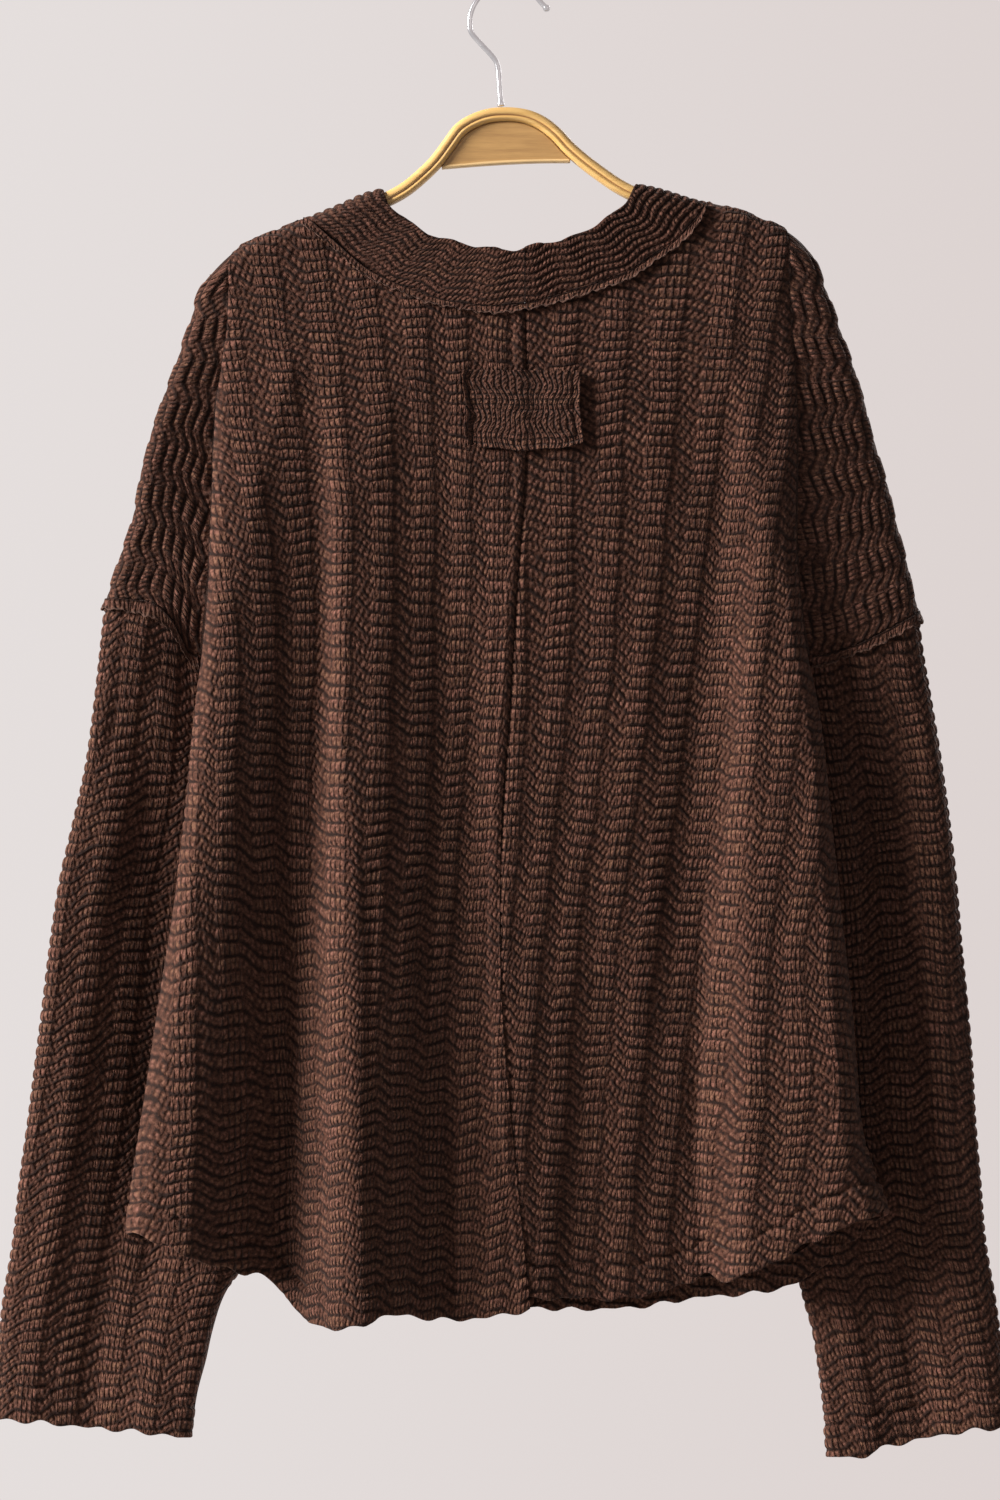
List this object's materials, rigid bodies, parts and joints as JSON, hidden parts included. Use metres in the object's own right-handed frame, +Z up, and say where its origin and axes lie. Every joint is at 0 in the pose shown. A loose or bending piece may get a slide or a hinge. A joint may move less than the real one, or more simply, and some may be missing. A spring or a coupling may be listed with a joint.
{
  "type": "v-neck top on a hanger",
  "caption": "Long-sleeved drop-shoulder v-neck top of textured knit with a centre back seam and a small back patch, hung on a wooden hanger with a wire hook.",
  "frame": {"origin": "inner top of the hook's loop, where it hangs on a rail", "axes": "+Z up along the hanging line; +X to the right as seen from behind the garment, along the hanger; +Y towards the front of the garment, so the back faces -Y"},
  "size_m": [0.6167, 0.0663, 0.8898],
  "materials": {
    "knit": "dark brown textured knit",
    "trim": "dark brown knit, raw edges",
    "wood": "clear lacquer",
    "inset_wood": "matte",
    "steel": "polished"
  },
  "bodies": {
    "root": {"back_left": "knit", "back_right": "knit", "front": "knit", "sleeve_left": "knit", "sleeve_right": "knit", "neckband": "knit", "neck_allowance_back": "trim", "neck_allowance_front": "trim", "armhole_allowance_left": "trim", "armhole_allowance_right": "trim", "back_patch": "trim", "hanger_bar": "wood", "hanger_panel": "inset_wood", "hanger_hook": "steel"}
  },
  "joints": []
}
